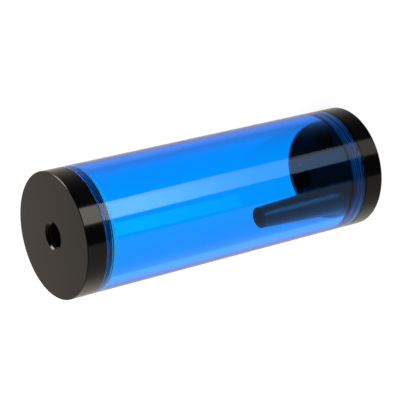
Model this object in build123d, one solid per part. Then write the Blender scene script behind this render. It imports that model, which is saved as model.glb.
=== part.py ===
from build123d import *

import os
from math import cos, radians, sin

# Water cooling reservoir. A clear tube is closed at each end by a solid cap that
# screws into the tube's bore and is sealed by a ring at the root of its spigot.
# The fill cap on top has one central port. The foot cap below has three ports on
# a circle, and a tapered riser pipe is screwed into the inside of one of them.
# Millimetres. +Z runs along the tube from the foot cap to the fill cap, and the
# origin is the centre of the foot cap's outer face, on which the reservoir stands.

# Tube
tube_outer_diameter = 60.0
tube_wall = 5.0
tube_length = 151.0
tube_edge_chamfer = 0.3

# Caps
flange_thickness = 10.0
flange_rim_chamfer = 0.3
spigot_length = 5.5
spigot_lead_chamfer = 1.0
socket_run_out = 0.5

# Closure thread, whose two sides are both drawn at its pitch diameter
closure_skin = 2.0
closure_thread_pitch = 1.0
closure_clearance = 0.05

# Sealing rings, squeezed between the spigot's groove and the tube's seal land
ring_cord = 1.0
ring_squeeze = 0.15
ring_flat_share = 0.4
ring_clearance = 0.02
groove_side_clearance = 0.1
seal_land_step = 0.1
seal_mouth_chamfer = 0.3

# Ports, cut for quarter inch pipe thread and drawn at the thread's outer diameter
port_thread_diameter = 13.157
port_clearance = 0.02
port_mouth_chamfer = 0.35
port_count = 3
first_port_angle = 90.0

# The riser's port is threaded from both faces, and a groove parts the two threads
fitting_depth = 6.5
relief_width = 1.0
relief_depth = 0.4

# Riser pipe, screwed into the inside of the last port
riser_height = 50.5
riser_tip_diameter = 9.8
riser_root_diameter = 14.0
riser_bore = 8.0
riser_collar_diameter = 15.0
riser_collar_height = 2.5
riser_collar_chamfer = 0.4
riser_edge_chamfer = 0.4
riser_thread_clearance = 0.05
riser_wall_gap = 0.5

# Radii and levels that follow from the sizes above
tube_radius = tube_outer_diameter / 2
bore_radius = tube_radius - tube_wall
tube_bottom = flange_thickness
tube_top = tube_bottom + tube_length
overall_height = tube_top + flange_thickness
cap_height = flange_thickness + spigot_length

# The pitch radius of a metric thread lies 0.3248 of a pitch inside its outer radius
thread_outer_radius = tube_radius - closure_skin
thread_pitch_radius = thread_outer_radius - 0.3248 * closure_thread_pitch
spigot_radius = thread_pitch_radius - closure_clearance / 2
socket_radius = thread_pitch_radius + closure_clearance / 2
socket_depth = spigot_length + socket_run_out

# A squeezed ring is as much longer in section as it is thinner
seal_land_radius = thread_outer_radius + seal_land_step
groove_depth = ring_cord - ring_squeeze
groove_radius = seal_land_radius - groove_depth
ring_half_width = groove_depth / 2 - ring_clearance
ring_half_height = (ring_cord / 2) ** 2 / ring_half_width
groove_width = 2 * (ring_half_height + groove_side_clearance)
ring_centre_radius = (seal_land_radius + groove_radius) / 2

port_radius = port_thread_diameter / 2 + port_clearance
riser_stub_radius = port_radius - riser_thread_clearance
riser_stub_end = fitting_depth + relief_width / 2
port_circle_radius = bore_radius - riser_wall_gap - riser_collar_diameter / 2


def turned(points):
    """Solid of revolution about Z from a closed half section of (radius, height) points."""
    outline = Plane.XZ * Polyline(*points, close=True)
    return revolve(make_face(outline), Axis.Z, 360)


def port_places():
    """Centres of the foot cap's ports. The last one carries the riser pipe."""
    step = 360.0 / port_count
    angles = [radians(first_port_angle - step * index) for index in range(port_count)]
    return [(port_circle_radius * cos(angle), port_circle_radius * sin(angle)) for angle in angles]


def tube_end(level, inward):
    """Half section of one tube end, from the bore out to the outer wall.

    inward is 1 at the lower end and -1 at the upper end.
    """
    land_end = level + inward * groove_width
    thread_start = land_end + inward * (seal_land_radius - socket_radius)
    socket_end = level + inward * socket_depth
    return [
        (bore_radius, socket_end),
        (socket_radius, socket_end),
        (socket_radius, thread_start),
        (seal_land_radius, land_end),
        (seal_land_radius, level + inward * seal_mouth_chamfer),
        (seal_land_radius + seal_mouth_chamfer, level),
        (tube_radius - tube_edge_chamfer, level),
        (tube_radius, level + inward * tube_edge_chamfer),
    ]


def make_tube():
    """Clear tube with a threaded socket and a smooth seal land inside each end."""
    return turned(tube_end(tube_bottom, 1) + tube_end(tube_top, -1)[::-1])


def cap_blank():
    """Turned cap without ports, outer face down on the XY plane and spigot up."""
    groove_top = flange_thickness + groove_width
    return turned([
        (0, 0),
        (tube_radius - flange_rim_chamfer, 0),
        (tube_radius, flange_rim_chamfer),
        (tube_radius, flange_thickness),
        (groove_radius, flange_thickness),
        (groove_radius, groove_top),
        (spigot_radius, groove_top),
        (spigot_radius, cap_height - spigot_lead_chamfer),
        (spigot_radius - spigot_lead_chamfer, cap_height),
        (0, cap_height),
    ])


def port_cutter():
    """Cutter for one port: a straight hole through the cap with a chamfered mouth at each face."""
    flare = port_radius + 2 * port_mouth_chamfer
    return turned([
        (0, -port_mouth_chamfer),
        (flare, -port_mouth_chamfer),
        (port_radius, port_mouth_chamfer),
        (port_radius, cap_height - port_mouth_chamfer),
        (flare, cap_height + port_mouth_chamfer),
        (0, cap_height + port_mouth_chamfer),
    ])


def riser_port_cutter():
    """Port cutter with the groove between the fitting's thread and the riser's."""
    relief = Pos(0, 0, fitting_depth + relief_width / 2) * Cylinder(port_radius + relief_depth, relief_width)
    return port_cutter() + relief


def make_foot_cap():
    """Lower cap with its ports evenly spaced on a circle, the last one for the riser."""
    cap = cap_blank()
    *open_places, riser_place = port_places()
    for x, y in open_places:
        cap -= Pos(x, y, 0) * port_cutter()
    x, y = riser_place
    return cap - Pos(x, y, 0) * riser_port_cutter()


def make_fill_cap():
    """Upper cap with one central port, turned over onto the tube's upper end."""
    return Pos(0, 0, overall_height) * Rot(180, 0, 0) * (cap_blank() - port_cutter())


def make_ring(level, inward):
    """Sealing ring in a spigot's groove, next to the flange face at this level.

    Its section is an oval in eight straight sides, flat where it is squeezed.
    """
    centre_height = level + inward * groove_width / 2
    corners = [(1, -ring_flat_share), (1, ring_flat_share), (ring_flat_share, 1), (-ring_flat_share, 1)]
    corners += [(-across, -along) for across, along in corners]
    return turned([
        (ring_centre_radius + across * ring_half_width, centre_height + along * ring_half_height)
        for across, along in corners
    ])


def make_riser():
    """Moulded riser pipe: threaded stub, seating collar and a long tapered open tube."""
    seat = cap_height
    tip = seat + riser_height
    collar_top = seat + riser_collar_height
    tip_radius = riser_tip_diameter / 2
    pipe = turned([
        (riser_bore / 2, riser_stub_end),
        (riser_stub_radius - riser_edge_chamfer, riser_stub_end),
        (riser_stub_radius, riser_stub_end + riser_edge_chamfer),
        (riser_stub_radius, seat),
        (riser_collar_diameter / 2, seat),
        (riser_collar_diameter / 2, collar_top - riser_collar_chamfer),
        (riser_collar_diameter / 2 - riser_collar_chamfer, collar_top),
        (riser_root_diameter / 2, collar_top),
        (tip_radius, tip - riser_edge_chamfer),
        (tip_radius - riser_edge_chamfer, tip),
        (riser_bore / 2, tip),
    ])
    x, y = port_places()[-1]
    return Pos(x, y, 0) * pipe


parts = {
    "tube": make_tube(),
    "fill_cap": make_fill_cap(),
    "foot_cap": make_foot_cap(),
    "fill_cap_ring": make_ring(tube_top, -1),
    "foot_cap_ring": make_ring(tube_bottom, 1),
    "riser_pipe": make_riser(),
}

os.makedirs("parts", exist_ok=True)
for name, part in parts.items():
    export_step(part, f"parts/{name}.step")
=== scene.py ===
"""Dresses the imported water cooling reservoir: clear tube, two screw caps, seals, riser pipe and studio."""

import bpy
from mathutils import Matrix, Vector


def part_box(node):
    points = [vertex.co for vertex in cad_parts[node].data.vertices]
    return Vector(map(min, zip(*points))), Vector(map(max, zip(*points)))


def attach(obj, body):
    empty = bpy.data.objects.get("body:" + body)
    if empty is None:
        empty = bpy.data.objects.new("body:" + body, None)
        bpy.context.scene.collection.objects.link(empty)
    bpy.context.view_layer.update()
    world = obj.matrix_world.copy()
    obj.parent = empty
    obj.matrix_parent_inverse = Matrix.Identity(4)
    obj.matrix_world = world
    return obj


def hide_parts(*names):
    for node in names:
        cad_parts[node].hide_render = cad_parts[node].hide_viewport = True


bl_info = {
    "name": "Water cooling reservoir",
    "version": (1, 0, 0),
    "blender": (4, 5, 0),
    "location": "3D View > Sidebar > Reservoir",
    "description": "Builds a clear tube reservoir with two screw caps, their seals and a riser pipe",
    "category": "Add Mesh",
}

from math import cos, pi, radians, sin, tau

import bmesh
import bpy
from bpy.props import FloatProperty, FloatVectorProperty, IntProperty, PointerProperty
from mathutils import Matrix, Vector

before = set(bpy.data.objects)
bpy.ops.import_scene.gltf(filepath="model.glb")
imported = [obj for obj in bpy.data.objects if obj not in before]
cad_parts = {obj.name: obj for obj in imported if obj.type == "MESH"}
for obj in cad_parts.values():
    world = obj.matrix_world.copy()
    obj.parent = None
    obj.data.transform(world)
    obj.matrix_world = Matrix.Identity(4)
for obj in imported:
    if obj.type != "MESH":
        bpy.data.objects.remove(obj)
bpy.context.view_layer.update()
tube_low, tube_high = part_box("tube")
base_low, base_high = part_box("foot_cap")
overall_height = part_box("fill_cap")[1][2]

MM = 0.001
WHITE = (1.0, 1.0, 1.0, 1.0)


# Meshes

# Beside a rounded corner, a point this many roundings away keeps the wall next to it flat in its shading
FLANK = 1.5


def softened(corners, steps=3):
    """Outline points for corners of (radius, height), or of (radius, height, rounding) to round one off.

    A wall that is too short for it gets no flanking point.
    """
    points = []
    for index, corner in enumerate(corners):
        here = Vector(corner[:2])
        if len(corner) == 2:
            points.append(here)
            continue
        rounding = corner[2]
        to_last = Vector(corners[index - 1][:2]) - here
        to_next = Vector(corners[(index + 1) % len(corners)][:2]) - here
        start = here + to_last.normalized() * rounding
        end = here + to_next.normalized() * rounding
        if to_last.length > 2 * rounding:
            points.append(here + (start - here) * FLANK)
        for step in range(steps + 1):
            share = step / steps
            points.append(start.lerp(here, share).lerp(here.lerp(end, share), share))
        if to_next.length > 2 * rounding:
            points.append(here + (end - here) * FLANK)
    return points


def along_line(points, height):
    """Radius at a height on a line through points of (height, radius)."""
    for (low, first), (high, second) in zip(points, points[1:]):
        if height <= high:
            share = max(0.0, (height - low) / (high - low))
            return first + (second - first) * share
    return points[-1][1]


class TurnedBody:
    """A mesh put together from walls that are turned about upright axes and meet edge to edge."""

    def __init__(self, columns):
        self.mesh = bmesh.new()
        self.columns = columns
        self.place = Matrix.Identity(4)

    def turn_over(self):
        """Puts what is added next at the other end of the reservoir, turned half way about X."""
        self.place = Matrix.Translation((0, 0, overall_height)) @ Matrix.Rotation(pi, 4, "X")

    def point(self, column, columns, radius, height, centre):
        """Adds one vertex of a wall."""
        angle = tau * column / columns
        local = Vector((centre[0] + radius * cos(angle), centre[1] + radius * sin(angle), height))
        return self.mesh.verts.new(self.place @ local)

    def wall(self, outline, centre=(0.0, 0.0), columns=None):
        """Adds the surface that an outline of (radius, height) points sweeps round an axis."""
        columns = columns or self.columns
        rings = [
            [self.point(column, columns, radius, height, centre) for column in range(columns)]
            for radius, height in outline
        ]
        for lower, upper in zip(rings, rings[1:]):
            for column in range(columns):
                following = (column + 1) % columns
                self.mesh.faces.new((lower[column], lower[following], upper[following], upper[column]))

    def thread(self, pitch, flat, inner, outer, limits, inside, centre=(0.0, 0.0), columns=None):
        """Adds a right-hand thread as a grid that climbs one pitch in each turn.

        It runs between the inner and the outer radius, and flat is the share of the pitch that each keeps.
        The limits are points of (height, radius) from its start to its end, past which no ridge
        reaches: outwards on a spigot, and inwards where it is cut inside a hole.
        """
        columns = columns or self.columns
        start, end = limits[0][0], limits[-1][0]
        form = ((0.0, outer), (flat, outer), (0.5, inner), (0.5 + flat, inner))
        turns = int((end - start) / pitch) + 2
        rows = [(turn - 1 + share, radius) for turn in range(turns + 1) for share, radius in form]
        pick = max if inside else min

        def lift(row, column):
            height = start + (rows[row][0] + column / columns) * pitch
            height = min(max(height, start), end)
            radius = pick(rows[row][1], along_line(limits, height))
            return self.point(column, columns, radius, height, centre)

        grid = [[lift(row, column) for row in range(len(rows))] for column in range(columns)]
        last = len(rows) - 1
        for column in range(columns):
            here = grid[column]
            following = grid[(column + 1) % columns]
            climb = len(form) if column == columns - 1 else 0
            for row in range(last):
                corners = [
                    here[row],
                    following[min(row + climb, last)],
                    following[min(row + 1 + climb, last)],
                    here[row + 1],
                ]
                unique = list(dict.fromkeys(corners))
                if len(unique) > 2:
                    self.mesh.faces.new(unique)

    def join(self):
        """Merges the edges that lie on each other."""
        bmesh.ops.remove_doubles(self.mesh, verts=self.mesh.verts, dist=0.002 * MM)
        bmesh.ops.dissolve_degenerate(self.mesh, edges=self.mesh.edges, dist=0.001 * MM)

    def close_flat(self, height):
        """Fills the flat face at this height between the open edges of the walls that end there."""
        level = (self.place @ Vector((0, 0, height))).z
        edges = [
            edge
            for edge in self.mesh.edges
            if edge.is_boundary and all(abs(vertex.co.z - level) < 0.001 * MM for vertex in edge.verts)
        ]
        bmesh.ops.triangle_fill(self.mesh, edges=edges, use_beauty=True)

    def piece(self, name, finish, body, node):
        """Makes the object, which stands for its CAD node and rides on its body."""
        self.join()
        bmesh.ops.recalc_face_normals(self.mesh, faces=self.mesh.faces)
        loose = [edge for edge in self.mesh.edges if not edge.is_manifold]
        if loose:
            raise RuntimeError(f"{name} has {len(loose)} open edges")
        data = bpy.data.meshes.new(name)
        self.mesh.to_mesh(data)
        self.mesh.free()
        data.shade_smooth()
        data.set_sharp_from_angle(angle=radians(25))
        data.materials.append(finish)
        made = bpy.data.objects.new(name, data)
        bpy.context.scene.collection.objects.link(made)
        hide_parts(node)
        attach(made, body)


# Finishes


class Field:
    """A socket of a node tree that can be used in arithmetic."""

    def __init__(self, recipe, socket):
        self.recipe = recipe
        self.socket = socket

    def calculate(self, operation, *terms):
        """Adds a Math node over the terms."""
        return self.recipe.node("ShaderNodeMath", {"operation": operation}, dict(enumerate(terms)))["Value"]

    def __add__(self, other):
        return self.calculate("ADD", self, other)

    __radd__ = __add__

    def __sub__(self, other):
        return self.calculate("SUBTRACT", self, other)

    def __rsub__(self, other):
        return self.calculate("SUBTRACT", other, self)

    def __mul__(self, other):
        return self.calculate("MULTIPLY", self, other)

    __rmul__ = __mul__

    def __truediv__(self, other):
        return self.calculate("DIVIDE", self, other)

    def __pow__(self, power):
        return self.calculate("POWER", self, power)

    def __abs__(self):
        return self.calculate("ABSOLUTE", self)

    def __gt__(self, limit):
        return self.calculate("GREATER_THAN", self, limit)

    def fraction(self):
        """What is left over whole numbers."""
        return self.calculate("FRACT", self)

    def step(self, low, high):
        """0 below low and 1 above high, with a smooth rise between."""
        settings = {"interpolation_type": "SMOOTHSTEP"}
        values = {"Value": self, "From Min": low, "From Max": high}
        return self.recipe.node("ShaderNodeMapRange", settings, values)["Result"]


class Recipe:
    """The nodes of one finish, or of the studio's surroundings."""

    def __init__(self, owner):
        owner.use_nodes = True
        self.tree = owner.node_tree
        self.tree.nodes.clear()

    def node(self, kind, settings=None, values=None):
        """Adds a node, with its settings first and then the values or links of its sockets."""
        added = self.tree.nodes.new(kind)
        for name, value in (settings or {}).items():
            if name == "stops":
                set_stops(added.color_ramp, value)
            else:
                setattr(added, name, value)
        for name, value in (values or {}).items():
            if isinstance(value, Field):
                self.tree.links.new(value.socket, added.inputs[name])
            else:
                added.inputs[name].default_value = value
        return {output.name: Field(self, output) for output in added.outputs if output.enabled}

    def mix(self, share, first, second):
        """A colour between two colours."""
        values = {0: share, 6: first, 7: second}
        return self.node("ShaderNodeMix", {"data_type": "RGBA"}, values)["Result"]

    def parts(self, vector):
        """The three parts of a vector."""
        return self.node("ShaderNodeSeparateXYZ", None, {"Vector": vector})

    def ramp(self, angle, stops, limit):
        """A grey level between stops of (angle, level), for an angle from minus the limit to the limit."""
        places = [((stop + limit) / (2 * limit), level) for stop, level in stops]
        return self.node("ShaderNodeValToRGB", {"stops": places}, {"Fac": angle / (2 * limit) + 0.5})["Color"]

    def noise(self, place, scale, detail=2.0):
        """Cloudy variation from 0 to 1 over a place in the piece."""
        values = {"Vector": place, "Scale": scale, "Detail": detail}
        return self.node("ShaderNodeTexNoise", None, values)["Fac"]

    def streaks(self, place, stretch, scale, detail):
        """Variation from 0 to 1 that is drawn out along Z."""
        values = {"Vector": place, "Scale": (1.0, 1.0, stretch)}
        return self.noise(self.node("ShaderNodeMapping", None, values)["Vector"], scale, detail)

    def marks(self, distance, scale, detail=2.0):
        """Variation from 0 to 1 along one distance."""
        values = {"W": distance, "Scale": scale, "Detail": detail}
        return self.node("ShaderNodeTexNoise", {"noise_dimensions": "1D"}, values)["Fac"]

    def bump(self, height, strength, distance):
        """A normal raised by a height."""
        values = {"Height": height, "Strength": strength, "Distance": distance}
        return self.node("ShaderNodeBump", None, values)["Normal"]

    def blend(self, share, first, second):
        """A shader between two shaders."""
        return self.node("ShaderNodeMixShader", None, {0: share, 1: first, 2: second})["Shader"]

    def surface(self, values, volume=None, over=None):
        """Ends a material with its surface, what fills it, and a share of a second surface over the first."""
        shader = self.node("ShaderNodeBsdfPrincipled", None, values)["BSDF"]
        if over:
            share, values = over
            shader = self.blend(share, shader, self.node("ShaderNodeBsdfPrincipled", None, values)["BSDF"])
        ends = {"Surface": shader}
        if volume:
            ends["Volume"] = volume
        self.node("ShaderNodeOutputMaterial", None, ends)


def grey(level):
    """A grey, which may be brighter than white."""
    return (level, level, level, 1.0)


def set_stops(ramp, stops):
    """Gives a colour ramp its stops of (position, grey level)."""
    while len(ramp.elements) < len(stops):
        ramp.elements.new(1.0)
    for element, (position, level) in zip(ramp.elements, stops):
        element.position = position
        element.color = grey(level)


def opaque(tone, times=1.0):
    """A colour of three levels as one of four, made lighter or darker."""
    return (*[min(1.0, level * times) for level in tone], 1.0)


def from_axis(part):
    """Distance from the upright axis at a place in its three parts."""
    return (part["X"] * part["X"] + part["Y"] * part["Y"]) ** 0.5


# Where the painted light over the frosted threads, and its share, change from one distance to another. The
# first three are distances from a socket's bottom towards its mouth, and the others are along X, which points
# up in the picture.
FLAT_BOTTOM = (0.02 * MM, 0.05 * MM)
MIDDLE_START = (0.8 * MM, 1.6 * MM)
MIDDLE_END = (3.6 * MM, 4.4 * MM)
ASIDE = (14 * MM, 26 * MM)
HIGH_UP = (12 * MM, 26 * MM)
FADED = (14 * MM, 27 * MM)

# The painted bright light at the bottom of the upper socket. Its end slants across the tube, and it fades
# towards +X.
BRIGHT_SLANT = -0.04
BRIGHT_START = -0.5 * MM
BRIGHT_END = 0.7 * MM
BRIGHT_FADE = 0.6
BRIGHT_SHARE = 0.97

# Painted shade and light: how many times as bright the lower threads are painted at their ends, and the upper
# threads at their +X side, and the share of the frosting that a smooth cut lacks
FOOT_ENDS_PAINTED_SHADE = 0.28
UPPER_SIDE_PAINTED_LIGHT = 2.4
SMOOTH_LOSS = 0.35

CHAMFER_ROUGHNESS = 0.35


def painted_thread_light(recipe, look, part, height, depth, past_spigot):
    """Painted light at the frosted threads of both sockets: colours that stand for the light coming out
    there, lighter and darker by place.
    """
    # Painted shade: the lower threads are darker towards both ends of the socket
    middle = depth.step(*MIDDLE_START) * (1 - depth.step(*MIDDLE_END))
    foot = recipe.mix(middle, opaque(look.lower_thread_painted_light, FOOT_ENDS_PAINTED_SHADE), opaque(look.lower_thread_painted_light))
    # Painted light: the lower threads are brighter far out to both sides along X
    foot = recipe.mix(abs(part["X"]).step(*ASIDE), foot, opaque(look.lower_side_painted_light))
    # Painted light: the upper threads are lighter towards +X
    side = opaque(look.upper_thread_painted_light, UPPER_SIDE_PAINTED_LIGHT)
    upper = recipe.mix(part["X"].step(*HIGH_UP), opaque(look.upper_thread_painted_light), side)
    both = recipe.mix(height > 0.0, foot, upper)
    # Painted bright light at the bottom of the upper socket, past the spigot
    bright = past_spigot * (1 - BRIGHT_FADE * part["X"].step(*FADED))
    return recipe.mix(bright, both, opaque(look.bright_thread_painted_light))


def clear_acrylic(look):
    """Tinted see-through acrylic: polished, but frosted by the tool inside the two sockets.

    Light that runs along inside the wall comes out at the frosted threads, which are therefore
    drawn partly as a matt blue of painted light. That painted light is brightest at the bottom of the upper
    socket, past the spigot.
    """
    finish = bpy.data.materials.new("clear_acrylic")
    recipe = Recipe(finish)
    tube = bpy.context.scene.reservoir.tube
    place = recipe.node("ShaderNodeTexCoord")["Object"]
    part = recipe.parts(place)
    radius = from_axis(part)

    # Heights are from the tube's middle
    half_length = (tube_high[2] - tube_low[2]) / 2
    socket_end = half_length - tube.socket
    height = part["Z"] - (tube_high[2] + tube_low[2]) / 2
    depth = abs(height) - socket_end
    bright_end = part["X"] * BRIGHT_SLANT + (socket_end + tube.run_out)
    below = 1 - height.step(bright_end + BRIGHT_START, bright_end + BRIGHT_END)
    past_spigot = (height > 0.0) * below

    # Shares of what the tool cut, and of that what scatters light, which is drawn matt in painted light
    in_socket = depth.step(-0.05 * MM, 0.0)
    cut = in_socket * (1 - radius.step(tube.land + 0.1 * MM, tube.land + 0.3 * MM))
    smooth_land = radius.step(tube.land - 0.05 * MM, tube.land - 0.03 * MM)
    flat_end = 1 - depth.step(*FLAT_BOTTOM)
    duller = (1 - SMOOTH_LOSS * smooth_land) * (1 - SMOOTH_LOSS * flat_end)
    matt_share = cut * (look.cut_share * duller + (BRIGHT_SHARE - look.cut_share) * past_spigot)
    rim = half_length - tube.edge
    chamfer_foot = tube.radius - tube.edge
    at_rim = abs(height).step(rim - 0.02 * MM, rim + 0.02 * MM)
    chamfer = at_rim * radius.step(chamfer_foot, chamfer_foot + 0.03 * MM)

    haze = recipe.noise(place, 45.0, 3.0)
    draw_lines = recipe.streaks(place, 0.04, 260.0, 1.0)
    filling = {"Color": opaque(look.acrylic_colour), "Density": look.acrylic_density}
    # A matt surface coloured with painted light, over the real frosting of the cut threads
    frosted = {
        "Base Color": painted_thread_light(recipe, look, part, height, depth, past_spigot),
        "Roughness": 0.5 + 0.2 * haze,
        "IOR": look.acrylic_ior,
    }
    recipe.surface(
        {
            "Base Color": WHITE,
            "Roughness": 0.002 + 0.012 * haze + look.cut_roughness * cut + CHAMFER_ROUGHNESS * chamfer,
            "IOR": look.acrylic_ior,
            "Transmission Weight": 1.0,
            "Normal": recipe.bump(draw_lines, 0.04, 0.1 * MM),
        },
        recipe.node("ShaderNodeVolumeAbsorption", None, filling)["Volume"],
        (matt_share, frosted),
    )
    return finish


def turned_acetal(look):
    """Black acetal as it leaves the lathe: fine rings on the flat faces and fine lines round the rim."""
    finish = bpy.data.materials.new("turned_acetal")
    recipe = Recipe(finish)
    coordinates = recipe.node("ShaderNodeTexCoord")
    part = recipe.parts(coordinates["Object"])
    facing = recipe.parts(coordinates["Normal"])
    radius = from_axis(part)
    on_face = abs(facing["Z"]).step(0.6, 0.95)
    travel = part["Z"] + on_face * (radius - part["Z"])
    tool_marks = recipe.marks(travel, 3200.0, 1.0)
    broad_rings = recipe.marks(travel, 420.0, 2.0)
    haze = recipe.noise(coordinates["Object"], 70.0, 4.0)

    # The fill cap's port is smoother than the foot cap's ports
    port_roughness = 0.35 - 0.23 * (part["Z"] > base_high[2])
    rim_roughness = 0.08 + 0.04 * haze + 0.02 * broad_rings
    face_roughness = 0.15 + 0.07 * haze + 0.05 * broad_rings
    round_roughness = port_roughness + radius.step(25.5 * MM, 26.0 * MM) * (rim_roughness - port_roughness)
    recipe.surface(
        {
            "Base Color": recipe.mix(haze, opaque(look.cap_colour), opaque(look.cap_colour, 1.6)),
            "Roughness": round_roughness + on_face * (face_roughness - round_roughness),
            "IOR": 1.48,
            "Normal": recipe.bump(tool_marks + 0.2 * broad_rings, 0.1, 0.01 * MM),
        }
    )
    return finish


def seal_rubber(look):
    """Matt black rubber with a fine moulded grain."""
    finish = bpy.data.materials.new("seal_rubber")
    recipe = Recipe(finish)
    place = recipe.node("ShaderNodeTexCoord")["Object"]
    grain = recipe.noise(place, 2500.0, 2.0)
    bloom = recipe.noise(place, 90.0, 3.0)
    recipe.surface(
        {
            "Base Color": recipe.mix(bloom, opaque(look.rubber_colour), opaque(look.rubber_colour, 1.8)),
            "Roughness": 0.55 + 0.15 * bloom,
            "Normal": recipe.bump(grain, 0.3, 0.02 * MM),
        }
    )
    return finish


def moulded_plastic(look):
    """Black moulded plastic with a satin skin and faint flow marks along the pipe."""
    finish = bpy.data.materials.new("moulded_plastic")
    recipe = Recipe(finish)
    place = recipe.node("ShaderNodeTexCoord")["Object"]
    flow = recipe.streaks(place, 0.15, 240.0, 3.0)
    grain = recipe.noise(place, 1800.0, 2.0)
    recipe.surface(
        {
            "Base Color": recipe.mix(flow, opaque(look.riser_colour), opaque(look.riser_colour, 1.7)),
            "Roughness": 0.3 + 0.03 * flow,
            "IOR": 1.5,
            "Normal": recipe.bump(grain, 0.05, 0.01 * MM),
        }
    )
    return finish


# Settings


def length(name, description, default):
    """A length that a user can change, given in millimetres."""
    return FloatProperty(
        name=name, description=description, default=default * MM, min=0.0, precision=5, unit="LENGTH"
    )


def colour(name, description, default):
    """A colour that a user can change."""
    return FloatVectorProperty(
        name=name, description=description, default=default, min=0.0, max=1.0, size=3, subtype="COLOR"
    )


class TubeSizes(bpy.types.PropertyGroup):
    """Sizes of the tube."""

    radius: length("Radius", "Outer radius of the tube", 30.0)
    bore: length("Bore", "Radius of the tube's bore", 25.0)
    edge: length("Edge", "Chamfer round the tube's two ends", 0.3)
    socket: length("Socket", "Depth of the threaded socket in each end", 6.0)
    land: length("Seal land", "Radius of the smooth land that the ring seals on", 28.1)
    mouth: length("Mouth", "Chamfer at the mouth of each socket", 0.3)
    run_out: length("Run-out", "Length at the bottom of the upper socket past the spigot's thread", 1.9)
    corner: length("Corner", "Chamfer between the bore and the bottom of each socket", 0.25)


class ClosureSizes(bpy.types.PropertyGroup):
    """Sizes of the thread and groove that join a cap to the tube."""

    pitch: length("Pitch", "Pitch of the closure thread", 1.0)
    socket_inner: length("Socket crest", "Radius of the thread's crests in the tube", 27.46)
    socket_outer: length("Socket root", "Radius of the thread's grooves in the tube", 28.03)
    spigot_inner: length("Spigot root", "Radius of the thread's grooves on the cap", 27.39)
    spigot_outer: length("Spigot crest", "Radius of the thread's crests on the cap", 27.97)
    shoulder: length("Shoulder", "Radius of the plain shoulder beside the groove", 27.65)
    groove: length("Groove", "Radius of the bottom of the ring's groove", 27.25)
    groove_width: length("Groove width", "Width of the ring's groove along the axis", 1.435)
    ring_half_width: length("Ring half width", "Half the squeezed ring's thickness across the groove", 0.405)
    ring_half_height: length("Ring half height", "Half the squeezed ring's length along the axis", 0.617)
    lead: length("Lead", "Chamfer at the end of the spigot", 1.3)


class CapSizes(bpy.types.PropertyGroup):
    """Sizes of the two caps and their ports."""

    flange: length("Flange", "Thickness of the flange", 10.0)
    height: length("Height", "Height of a cap with its spigot", 15.5)
    chamfer: length("Rim chamfer", "Chamfer round the outer face", 0.3)
    port: length("Port", "Outer radius of the port's thread", 6.5985)
    port_crest: length("Port crest", "Radius of the crests of the port's thread", 5.73)
    port_pitch: length("Port pitch", "Pitch of the port's thread", 1.337)
    port_mouth: length("Port mouth", "Chamfer at each mouth of a port", 0.35)
    port_circle: length("Port circle", "Radius of the circle that the foot cap's ports lie on", 17.0)
    riser_depth: length("Riser depth", "Depth of the groove behind the riser's thread", 6.5)
    relief: length("Relief", "Width of that groove", 1.0)
    relief_depth: length("Relief depth", "Depth of that groove", 0.4)


class RiserSizes(bpy.types.PropertyGroup):
    """Sizes of the riser pipe."""

    tip: length("Tip height", "Height of the pipe's open tip", 66.0)
    tip_radius: length("Tip radius", "Radius of the pipe at its tip", 4.9)
    root_radius: length("Root radius", "Radius of the pipe above its collar", 7.0)
    bore: length("Bore", "Radius of the pipe's bore", 4.0)
    collar_radius: length("Collar radius", "Radius of the collar that seats on the cap", 7.5)
    collar_height: length("Collar height", "Height of the collar", 2.5)
    stub_end: length("Stub end", "Height of the lower end of the threaded stub", 7.0)
    stub_radius: length("Stub radius", "Outer radius of the threaded stub", 6.5485)


class Looks(bpy.types.PropertyGroup):
    """Colours and other looks of the finishes."""

    acrylic_colour: colour("Acrylic", "What the acrylic lets through at its density", (0.0, 0.818, 0.991))
    acrylic_density: FloatProperty(
        name="Acrylic density",
        description="How strongly the acrylic takes light, per metre",
        default=650.0,
        min=0.0,
    )
    acrylic_ior: FloatProperty(
        name="Acrylic IOR", description="Refractive index of the acrylic", default=1.49, min=1.0, max=2.0
    )
    cut_roughness: FloatProperty(
        name="Cut roughness", description="Roughness of the threads cut in the acrylic", default=0.22, max=1.0
    )
    cut_share: FloatProperty(
        name="Cut share",
        description="Share of the cut threads that scatters light",
        default=0.8,
        subtype="FACTOR",
    )
    # The thread colours are painted light: they stand for light that comes out of the wall at the frosted
    # threads
    upper_thread_painted_light: colour("Upper threads", "Light from the wall at the upper threads", (0.042, 0.13, 0.38))
    bright_thread_painted_light: colour("Bright threads", "Light from the wall past the spigot", (0.3, 0.85, 1.0))
    lower_thread_painted_light: colour("Lower threads", "Light from the wall at the lower threads", (0.063, 0.12, 0.375))
    lower_side_painted_light: colour("Lower threads aside", "The same far out to both sides", (0.07, 0.3, 0.62))
    cap_colour: colour("Caps", "Colour of the caps", (0.001, 0.001, 0.001))
    rubber_colour: colour("Seals", "Colour of the sealing rings", (0.012, 0.012, 0.012))
    riser_colour: colour("Riser", "Colour of the riser pipe", (0.004, 0.004, 0.0045))


class StudioSettings(bpy.types.PropertyGroup):
    """The camera, floor and light."""

    focal: FloatProperty(
        name="Focal length", description="Focal length of the camera in millimetres", default=155.84, min=1.0
    )
    floor_size: length("Floor", "Width of the floor", 12000.0)
    floor_glow: FloatProperty(
        name="Floor glow",
        description="Share of the floor that stays white in shadow",
        default=0.7,
        subtype="FACTOR",
    )
    backdrop: FloatProperty(
        name="Backdrop", description="Brightness of the white behind the object", default=1.15, min=0.0
    )
    see_through: FloatProperty(
        name="See-through",
        description="How much brighter the backdrop is through the tube",
        default=1.08,
        min=0.0,
    )
    fill: FloatProperty(
        name="Fill light", description="Strength of the even light round the object", default=0.8, min=0.0
    )
    lamp: FloatProperty(
        name="Lamp", description="Power of the soft lamp above", default=2.2, min=0.0, unit="POWER"
    )


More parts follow.
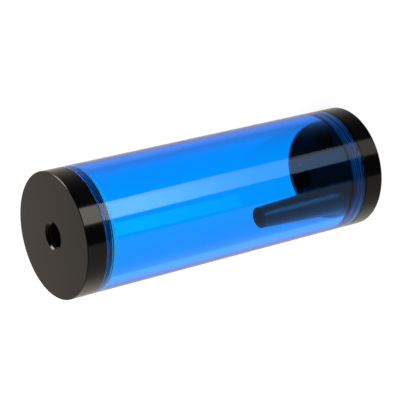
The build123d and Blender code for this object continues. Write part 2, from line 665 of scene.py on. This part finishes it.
class Reservoir(bpy.types.PropertyGroup):
    """All settings of the reservoir."""

    columns: IntProperty(name="Columns", description="Steps round the tube and caps", default=128, min=16)
    port_columns: IntProperty(
        name="Port columns", description="Steps round the ports and riser", default=64, min=16
    )
    tube: PointerProperty(name="Tube", description="Sizes of the tube", type=TubeSizes)
    closure: PointerProperty(name="Closure", description="Sizes of the closure", type=ClosureSizes)
    cap: PointerProperty(name="Caps", description="Sizes of the caps", type=CapSizes)
    riser: PointerProperty(name="Riser", description="Sizes of the riser pipe", type=RiserSizes)
    looks: PointerProperty(name="Looks", description="Colours of the finishes", type=Looks)
    studio: PointerProperty(name="Studio", description="Camera, floor and light", type=StudioSettings)


def finish_of(name, maker):
    """The finish of this name, made once."""
    return bpy.data.materials.get(name) or maker(bpy.context.scene.reservoir.looks)


# Pieces

# Share of a thread's pitch that is flat at its crest, and at its root
METRIC_FLAT = 0.1875
PIPE_FLAT = 0.1667

# Short stretches beside the threads
SHOULDER_LENGTH = 0.16 * MM
SPIGOT_RUN_IN = 0.42 * MM
SPIGOT_RISE = 0.58 * MM
SOCKET_RUN_OUT = 0.3 * MM
STUB_RUN_IN = 0.2 * MM
STUB_RUN_OUT = 0.6 * MM
RISER_PORT_FADE = 0.5

# Roundings of edges
RIM_ROUNDING = 0.04 * MM
SEAM_ROUNDING = 0.05 * MM
COLLAR_ROUNDING = 0.4 * MM
COLLAR_FILLET = 0.15 * MM
TIP_ROUNDING = 0.5 * MM
BORE_ROUNDING = 0.3 * MM

# A ring is an oval of this many steps, squeezed flat past this share of its half width
RING_STEPS = 16
RING_FLAT = 0.92


def port_places(circle):
    """Centres of the foot cap's ports. The last one carries the riser pipe."""
    angles = [radians(angle) for angle in (90, -30, 210)]
    return [(circle * cos(angle), circle * sin(angle)) for angle in angles]


def add_socket(body, sizes):
    """Adds one threaded end of the tube, from the bore to the outer wall."""
    tube, closure, flange = sizes.tube, sizes.closure, sizes.cap.flange
    inner_end = flange + tube.socket
    land_end = flange + closure.groove_width
    corner = [(tube.bore, inner_end + tube.corner), (tube.bore + tube.corner, inner_end)]
    body.wall([*corner, (closure.socket_outer, inner_end)])
    body.thread(
        closure.pitch,
        METRIC_FLAT,
        closure.socket_inner,
        closure.socket_outer,
        [
            (land_end, tube.land),
            (land_end + tube.land - closure.socket_inner, closure.socket_inner),
            (inner_end - SOCKET_RUN_OUT, closure.socket_inner),
            (inner_end, closure.socket_outer),
        ],
        inside=True,
    )
    body.wall(
        [
            (tube.land, land_end),
            (tube.land, flange + tube.mouth),
            (tube.land + tube.mouth, flange),
            (tube.radius - tube.edge, flange),
            (tube.radius, flange + tube.edge),
        ]
    )


def add_cap(body, sizes):
    """Adds a cap without its ports and without its two flat faces."""
    tube, closure, cap = sizes.tube, sizes.closure, sizes.cap
    groove_top = cap.flange + closure.groove_width
    thread_start = groove_top + SPIGOT_RUN_IN
    body.wall(
        softened(
            [
                (tube.radius - cap.chamfer, 0.0),
                (tube.radius, cap.chamfer, RIM_ROUNDING),
                (tube.radius, cap.flange, SEAM_ROUNDING),
                (closure.groove, cap.flange),
                (closure.groove, groove_top),
                (closure.shoulder, groove_top),
                (closure.shoulder, groove_top + SHOULDER_LENGTH),
                (closure.spigot_inner, thread_start),
            ]
        )
    )
    body.thread(
        closure.pitch,
        METRIC_FLAT,
        closure.spigot_inner,
        closure.spigot_outer,
        [
            (thread_start, closure.spigot_inner),
            (thread_start + SPIGOT_RISE, closure.spigot_outer),
            (cap.height - closure.lead, closure.spigot_outer),
            (cap.height, closure.spigot_outer - closure.lead),
        ],
        inside=False,
    )


def add_port_thread(body, sizes, centre, end, fade):
    """Adds a port's mouth in the outer face and its thread, which fades out over a share of its depth."""
    cap = sizes.cap
    mouth = cap.port_mouth
    ridge = cap.port - cap.port_crest
    body.wall([(cap.port + mouth, 0.0), (cap.port, mouth)], centre, sizes.port_columns)
    body.thread(
        cap.port_pitch,
        PIPE_FLAT,
        cap.port_crest,
        cap.port,
        [
            (mouth, cap.port),
            (mouth + ridge, cap.port_crest),
            (end - fade * ridge, cap.port_crest),
            (end, cap.port),
        ],
        inside=True,
        centre=centre,
        columns=sizes.port_columns,
    )


def add_port(body, sizes, centre):
    """Adds one threaded port through a cap."""
    cap = sizes.cap
    end = cap.height - cap.port_mouth
    add_port_thread(body, sizes, centre, end, 1.0)
    body.wall([(cap.port, end), (cap.port + cap.port_mouth, cap.height)], centre, sizes.port_columns)


def add_riser_port(body, sizes, centre):
    """Adds the port that takes a fitting from outside and the riser pipe from inside."""
    cap = sizes.cap
    relief_radius = cap.port + cap.relief_depth
    relief_end = cap.riser_depth + cap.relief
    add_port_thread(body, sizes, centre, cap.riser_depth, RISER_PORT_FADE)
    body.wall(
        [
            (cap.port, cap.riser_depth),
            (relief_radius, cap.riser_depth),
            (relief_radius, relief_end),
            (cap.port, relief_end),
            (cap.port, cap.height - cap.port_mouth),
            (cap.port + cap.port_mouth, cap.height),
        ],
        centre,
        sizes.port_columns,
    )


def close_faces(body, sizes):
    """Closes a cap's two flat faces round its ports."""
    body.join()
    body.close_flat(0.0)
    body.close_flat(sizes.cap.height)


def add_ring(body, sizes):
    """Adds one oval sealing ring, flat where the groove and the land squeeze it."""
    closure = sizes.closure
    centre_radius = (sizes.tube.land + closure.groove) / 2
    centre_height = sizes.cap.flange + closure.groove_width / 2
    section = []
    for step in range(RING_STEPS):
        angle = tau * step / RING_STEPS
        across = max(-RING_FLAT, min(RING_FLAT, cos(angle))) / RING_FLAT
        radius = centre_radius + across * closure.ring_half_width
        section.append((radius, centre_height + sin(angle) * closure.ring_half_height))
    body.wall(section + section[:1])


class RESERVOIR_OT_tube(bpy.types.Operator):
    """Builds the clear tube with a threaded socket in each end"""

    bl_idname = "reservoir.tube"
    bl_label = "Tube"

    def execute(self, context):
        sizes = context.scene.reservoir
        tube = sizes.tube
        bottom, top = tube_low[2], tube_high[2]
        body = TurnedBody(sizes.columns)
        body.wall([(tube.radius, bottom + tube.edge), (tube.radius, top - tube.edge)])
        inner_end = tube.socket + tube.corner
        body.wall([(tube.bore, bottom + inner_end), (tube.bore, top - inner_end)])
        add_socket(body, sizes)
        body.turn_over()
        add_socket(body, sizes)
        finish = finish_of("clear_acrylic", clear_acrylic)
        body.piece("clear_tube", finish, "barrel", "tube")
        return {"FINISHED"}


class RESERVOIR_OT_fill_cap(bpy.types.Operator):
    """Builds the upper cap with its central port"""

    bl_idname = "reservoir.fill_cap"
    bl_label = "Fill cap"

    def execute(self, context):
        sizes = context.scene.reservoir
        body = TurnedBody(sizes.columns)
        body.turn_over()
        add_cap(body, sizes)
        add_port(body, sizes, (0.0, 0.0))
        close_faces(body, sizes)
        finish = finish_of("turned_acetal", turned_acetal)
        body.piece("fill_cap_turned", finish, "lid", "fill_cap")
        return {"FINISHED"}


class RESERVOIR_OT_foot_cap(bpy.types.Operator):
    """Builds the lower cap with its three ports on a circle"""

    bl_idname = "reservoir.foot_cap"
    bl_label = "Foot cap"

    def execute(self, context):
        sizes = context.scene.reservoir
        *open_places, riser_place = port_places(sizes.cap.port_circle)
        body = TurnedBody(sizes.columns)
        add_cap(body, sizes)
        for centre in open_places:
            add_port(body, sizes, centre)
        add_riser_port(body, sizes, riser_place)
        close_faces(body, sizes)
        finish = finish_of("turned_acetal", turned_acetal)
        body.piece("foot_cap_turned", finish, "base", "foot_cap")
        return {"FINISHED"}


class RESERVOIR_OT_seals(bpy.types.Operator):
    """Builds the two rubber sealing rings"""

    bl_idname = "reservoir.seals"
    bl_label = "Sealing rings"

    def execute(self, context):
        sizes = context.scene.reservoir
        finish = finish_of("seal_rubber", seal_rubber)
        lower = TurnedBody(sizes.columns)
        add_ring(lower, sizes)
        lower.piece("foot_seal_ring", finish, "foot_seal", "foot_cap_ring")
        upper = TurnedBody(sizes.columns)
        upper.turn_over()
        add_ring(upper, sizes)
        upper.piece("fill_seal_ring", finish, "fill_seal", "fill_cap_ring")
        return {"FINISHED"}


class RESERVOIR_OT_riser(bpy.types.Operator):
    """Builds the tapered riser pipe that stands in the third port"""

    bl_idname = "reservoir.riser"
    bl_label = "Riser pipe"

    def execute(self, context):
        sizes = context.scene.reservoir
        riser, cap = sizes.riser, sizes.cap
        centre = port_places(cap.port_circle)[-1]
        seat = cap.height
        collar_top = seat + riser.collar_height
        stub_root = cap.port_crest
        thread_start = riser.stub_end + STUB_RUN_IN
        thread_end = seat - STUB_RUN_OUT
        ridge = riser.stub_radius - stub_root
        body = TurnedBody(sizes.port_columns)
        body.wall([(stub_root, riser.stub_end), (stub_root, thread_start)], centre)
        body.thread(
            cap.port_pitch,
            PIPE_FLAT,
            stub_root,
            riser.stub_radius,
            [
                (thread_start, stub_root),
                (thread_start + ridge, riser.stub_radius),
                (thread_end - ridge, riser.stub_radius),
                (thread_end, stub_root),
            ],
            inside=False,
            centre=centre,
        )
        outline = softened(
            [
                (stub_root, thread_end),
                (stub_root, seat),
                (riser.collar_radius, seat),
                (riser.collar_radius, collar_top, COLLAR_ROUNDING),
                (riser.root_radius, collar_top, COLLAR_FILLET),
                (riser.tip_radius, riser.tip, TIP_ROUNDING),
                (riser.bore, riser.tip, BORE_ROUNDING),
                (riser.bore, riser.stub_end),
                (stub_root, riser.stub_end),
            ]
        )
        body.wall(outline, centre)
        finish = finish_of("moulded_plastic", moulded_plastic)
        body.piece("riser_tube", finish, "base", "riser_pipe")
        return {"FINISHED"}


# Studio

# The camera's place and axes, and the angle in degrees at which it stands round the reservoir
CAMERA_PLACE = (-0.0322, -0.6961, 0.54155)
CAMERA_RIGHT = (-0.25965, -0.51778, -0.81515)
CAMERA_UP = (0.96492, -0.17315, -0.19737)
CAMERA_FORWARD = (0.03895, 0.83780, -0.54458)
CAMERA_SIDE = -92.65

LAMP_SIZE = 0.6
LAMP_PLACE = (-0.25, -0.45, 0.75)
LAMP_AIM = (0.0, 0.0, 0.08)

# Brightness of the walls by angle from the camera's side, and of the strip light and the walls by rise
ROUND_THE_STUDIO = (
    (-180, 0.80), (-172, 0.90), (-158, 0.72), (-146, 0.60), (-134, 0.48), (-122, 0.38), (-110, 0.25),
    (-98, 0.14), (-86, 0.07), (-74, 0.03), (-61, 0.015), (-45, 0.012), (-4, 0.012), (32, 0.012),
    (33.5, 0.32), (60, 0.32), (74, 0.35), (86, 0.40), (98, 0.55), (110, 0.78), (122, 0.86),
    (134, 0.86), (146, 0.74), (158, 0.73), (172, 0.72), (180, 0.80),
)
STRIP_UP_THE_STUDIO = (
    (-90, 0.0), (-70, 0.2), (-50, 0.27), (-39, 0.27), (-35, 0.34), (-33, 0.64), (-31, 1.0), (-29, 0.95),
    (-8, 0.95), (4, 0.0),
)
WALLS_UP_THE_STUDIO = (
    (-90, 0.8), (-60, 0.94), (-39, 0.95), (-30, 1.04), (15, 1.0), (26, 1.2), (30, 0.18), (33, 0.33),
    (42, 0.33), (60, 0.3), (90, 0.5),
)

# The tall strip light, in degrees. It leans to one side by a share of its rise over a level.
STRIP_CENTRE = -20.7
STRIP_HALF_WIDTH = 15.6
STRIP_EDGE = 0.8
STRIP_LEAN = 0.42
STRIP_LEVEL = -31
STRIP_BRIGHTNESS = 3.3

# The soft box that the upper cap's rim chamfer reflects, in degrees, with where it falls off from its middle
BOX_CENTRE = -108
BOX_FALL_ROUND = (6.0, 24.0)
BOX_RISE = 34
BOX_LEAN = 0.5
BOX_FALL_UP = (3.0, 8.0)
BOX_BRIGHTNESS = 10.0

# Reflections inside the tube are brighter, but dimmer from behind the reservoir and from high up
STRIP_INSIDE = 1.95
WALLS_INSIDE = 1.5
BEHIND_LOSS = 1.8
HIGH_LOSS = 1.95
EVEN_INSIDE = 2.8
BEHIND = (140.0, 178.0)
HIGH = (0.0, 20.0)

STUDIO_TINT = (1.0, 0.93, 0.83, 1.0)
CEILING_TINT = (1.0, 0.87, 0.76, 1.0)
PAPER = 0.94
PALE_PAPER = 0.97

# Under the reservoir the floor is matt, up to this far from the rim
UNDER_EDGE = 1.5 * MM


def studio_light(recipe, inside):
    """What a polished surface reflects in a direction: pale walls, a tall strip light and a soft box."""
    part = recipe.parts(recipe.node("ShaderNodeTexCoord")["Generated"])
    azimuth = part["Y"].calculate("ARCTAN2", part["Y"], part["X"])
    rise = part["Z"].calculate("ARCSINE", part["Z"]) * (180 / pi)
    around = (azimuth * (-1 / tau) + (CAMERA_SIDE / 360 + 1.5)).fraction() * 360 - 180
    high = rise.step(*HIGH)
    behind = abs(around).step(*BEHIND)
    piped = 1 + inside * (WALLS_INSIDE - BEHIND_LOSS * behind * (1 - high) - HIGH_LOSS * high)
    walls = recipe.ramp(around, ROUND_THE_STUDIO, 180) * recipe.ramp(rise, WALLS_UP_THE_STUDIO, 90) * piped
    aside = abs(around - STRIP_CENTRE - STRIP_LEAN * (rise - STRIP_LEVEL))
    across = 1 - aside.step(STRIP_HALF_WIDTH - STRIP_EDGE, STRIP_HALF_WIDTH + STRIP_EDGE)
    strip = across * recipe.ramp(rise, STRIP_UP_THE_STUDIO, 90) * (1 + STRIP_INSIDE * inside)
    along_box = around - BOX_CENTRE
    box_rise = abs(rise - BOX_RISE - BOX_LEAN * along_box)
    box = (1 - abs(along_box).step(*BOX_FALL_ROUND)) * (1 - box_rise.step(*BOX_FALL_UP))
    brightness = walls + STRIP_BRIGHTNESS * strip + BOX_BRIGHTNESS * box * (1 - inside)
    tint = recipe.mix(high, STUDIO_TINT, CEILING_TINT)
    scaled = {0: tint, "Scale": brightness}
    return recipe.node("ShaderNodeVectorMath", {"operation": "SCALE"}, scaled)["Vector"]


def surroundings(studio):
    """White for the camera and for what is seen through the tube, and a studio for reflections."""
    recipe = Recipe(bpy.context.scene.world)
    path = recipe.node("ShaderNodeLightPath")
    inside = path["Transmission Depth"] > 0.5
    past_gloss = path["Glossy Depth"] > 0.5
    past_matt = path["Diffuse Depth"] > 0.5
    seen = recipe.mix(inside, WHITE, grey(studio.see_through))
    fill = recipe.mix(inside, grey(studio.fill), grey(studio.fill * EVEN_INSIDE))
    even = recipe.mix(past_matt, seen, fill)
    shown = recipe.mix(past_gloss * (1 - past_matt), even, studio_light(recipe, inside))
    light = recipe.node("ShaderNodeBackground", None, {"Color": shown, "Strength": 1.0})["Background"]
    recipe.node("ShaderNodeOutputWorld", None, {"Surface": light})


def floor_finish(studio):
    """A pale floor, white except in the object's shadow and under it, which reflections look past."""
    finish = bpy.data.materials.new("studio_floor")
    recipe = Recipe(finish)
    path = recipe.node("ShaderNodeLightPath")
    past_gloss = path["Glossy Depth"] > 0.5
    past_matt = path["Diffuse Depth"] > 0.5
    place = recipe.node("ShaderNodeTexCoord")["Object"]
    paper = recipe.mix(recipe.noise(place, 300.0, 2.0), grey(PAPER), grey(PALE_PAPER))
    matt = recipe.node("ShaderNodeBsdfDiffuse", None, {"Color": paper})["BSDF"]
    clear_of = from_axis(recipe.parts(place)).step(base_high[0] - UNDER_EDGE, base_high[0])
    bright = studio.backdrop * (1 + (studio.see_through - 1) * path["Is Transmission Ray"])
    strength = bright + past_matt * (studio.fill - bright)
    glow = recipe.node("ShaderNodeEmission", None, {"Color": WHITE, "Strength": strength})["Emission"]
    through = path["Is Transmission Ray"] * (1 - past_matt)
    share = (studio.floor_glow + (1 - studio.floor_glow) * through) * clear_of
    open_air = recipe.node("ShaderNodeBsdfTransparent")["BSDF"]
    shown = recipe.blend(past_gloss * clear_of, recipe.blend(share, matt, glow), open_air)
    recipe.node("ShaderNodeOutputMaterial", None, {"Surface": shown})
    return finish


def add_floor(studio):
    """Makes the floor under the reservoir."""
    half = studio.floor_size / 2
    level = base_low[2]
    data = bpy.data.meshes.new("floor")
    corners = [(-half, -half, level), (half, -half, level), (half, half, level), (-half, half, level)]
    data.from_pydata(corners, [], [(0, 1, 2, 3)])
    data.materials.append(floor_finish(studio))
    floor = bpy.data.objects.new("floor", data)
    bpy.context.scene.collection.objects.link(floor)


def add_lamp(studio):
    """Makes the soft lamp above the reservoir."""
    data = bpy.data.lights.new("soft_lamp", "AREA")
    data.shape = "DISK"
    data.size = LAMP_SIZE
    data.energy = studio.lamp
    lamp = bpy.data.objects.new("soft_lamp", data)
    aim = Vector(LAMP_AIM) - Vector(LAMP_PLACE)
    lamp.matrix_world = Matrix.Translation(LAMP_PLACE) @ aim.to_track_quat("-Z", "Y").to_matrix().to_4x4()
    lamp.visible_camera = False
    lamp.visible_glossy = False
    lamp.visible_transmission = False
    bpy.context.scene.collection.objects.link(lamp)


def add_camera(studio):
    """Makes the camera, rolled so that the reservoir lies across the picture."""
    data = bpy.data.cameras.new("camera")
    data.sensor_width = 36.0
    data.lens = studio.focal
    data.clip_start = 0.05
    camera = bpy.data.objects.new("camera", data)
    axes = Matrix((CAMERA_RIGHT, CAMERA_UP, -Vector(CAMERA_FORWARD))).transposed().to_4x4()
    camera.matrix_world = Matrix.Translation(CAMERA_PLACE) @ axes
    bpy.context.scene.collection.objects.link(camera)
    bpy.context.scene.camera = camera


class RESERVOIR_OT_studio(bpy.types.Operator):
    """Builds the floor, the light and the camera"""

    bl_idname = "reservoir.studio"
    bl_label = "Studio"

    def execute(self, context):
        studio = context.scene.reservoir.studio
        scene = context.scene
        if scene.world is None:
            scene.world = bpy.data.worlds.new("studio")
        surroundings(studio)
        add_floor(studio)
        add_lamp(studio)
        add_camera(studio)
        scene.view_settings.view_transform = "Standard"
        return {"FINISHED"}


class RESERVOIR_PT_sidebar(bpy.types.Panel):
    """Lists the reservoir's pieces"""

    bl_idname = "RESERVOIR_PT_sidebar"
    bl_label = "Reservoir"
    bl_space_type = "VIEW_3D"
    bl_region_type = "UI"
    bl_category = "Reservoir"

    def draw(self, context):
        for operator in OPERATORS:
            self.layout.operator(operator.bl_idname)
        sizes = context.scene.reservoir
        for group in (sizes.tube, sizes.closure, sizes.cap, sizes.riser, sizes.looks, sizes.studio):
            box = self.layout.box()
            for name in group.__annotations__:
                box.prop(group, name)


GROUPS = (TubeSizes, ClosureSizes, CapSizes, RiserSizes, Looks, StudioSettings, Reservoir)
OPERATORS = (
    RESERVOIR_OT_tube,
    RESERVOIR_OT_fill_cap,
    RESERVOIR_OT_foot_cap,
    RESERVOIR_OT_seals,
    RESERVOIR_OT_riser,
    RESERVOIR_OT_studio,
)


def register():
    """Registers the settings, operators and panel."""
    for item in (*GROUPS, *OPERATORS, RESERVOIR_PT_sidebar):
        bpy.utils.register_class(item)
    bpy.types.Scene.reservoir = PointerProperty(
        name="Reservoir", description="Settings of the reservoir", type=Reservoir
    )


def unregister():
    """Removes what register added."""
    del bpy.types.Scene.reservoir
    for item in reversed((*GROUPS, *OPERATORS, RESERVOIR_PT_sidebar)):
        bpy.utils.unregister_class(item)


def main():
    """Builds every piece and the studio."""
    register()
    bpy.ops.reservoir.tube()
    bpy.ops.reservoir.fill_cap()
    bpy.ops.reservoir.foot_cap()
    bpy.ops.reservoir.seals()
    bpy.ops.reservoir.riser()
    bpy.ops.reservoir.studio()


if __name__ == "__main__":
    main()
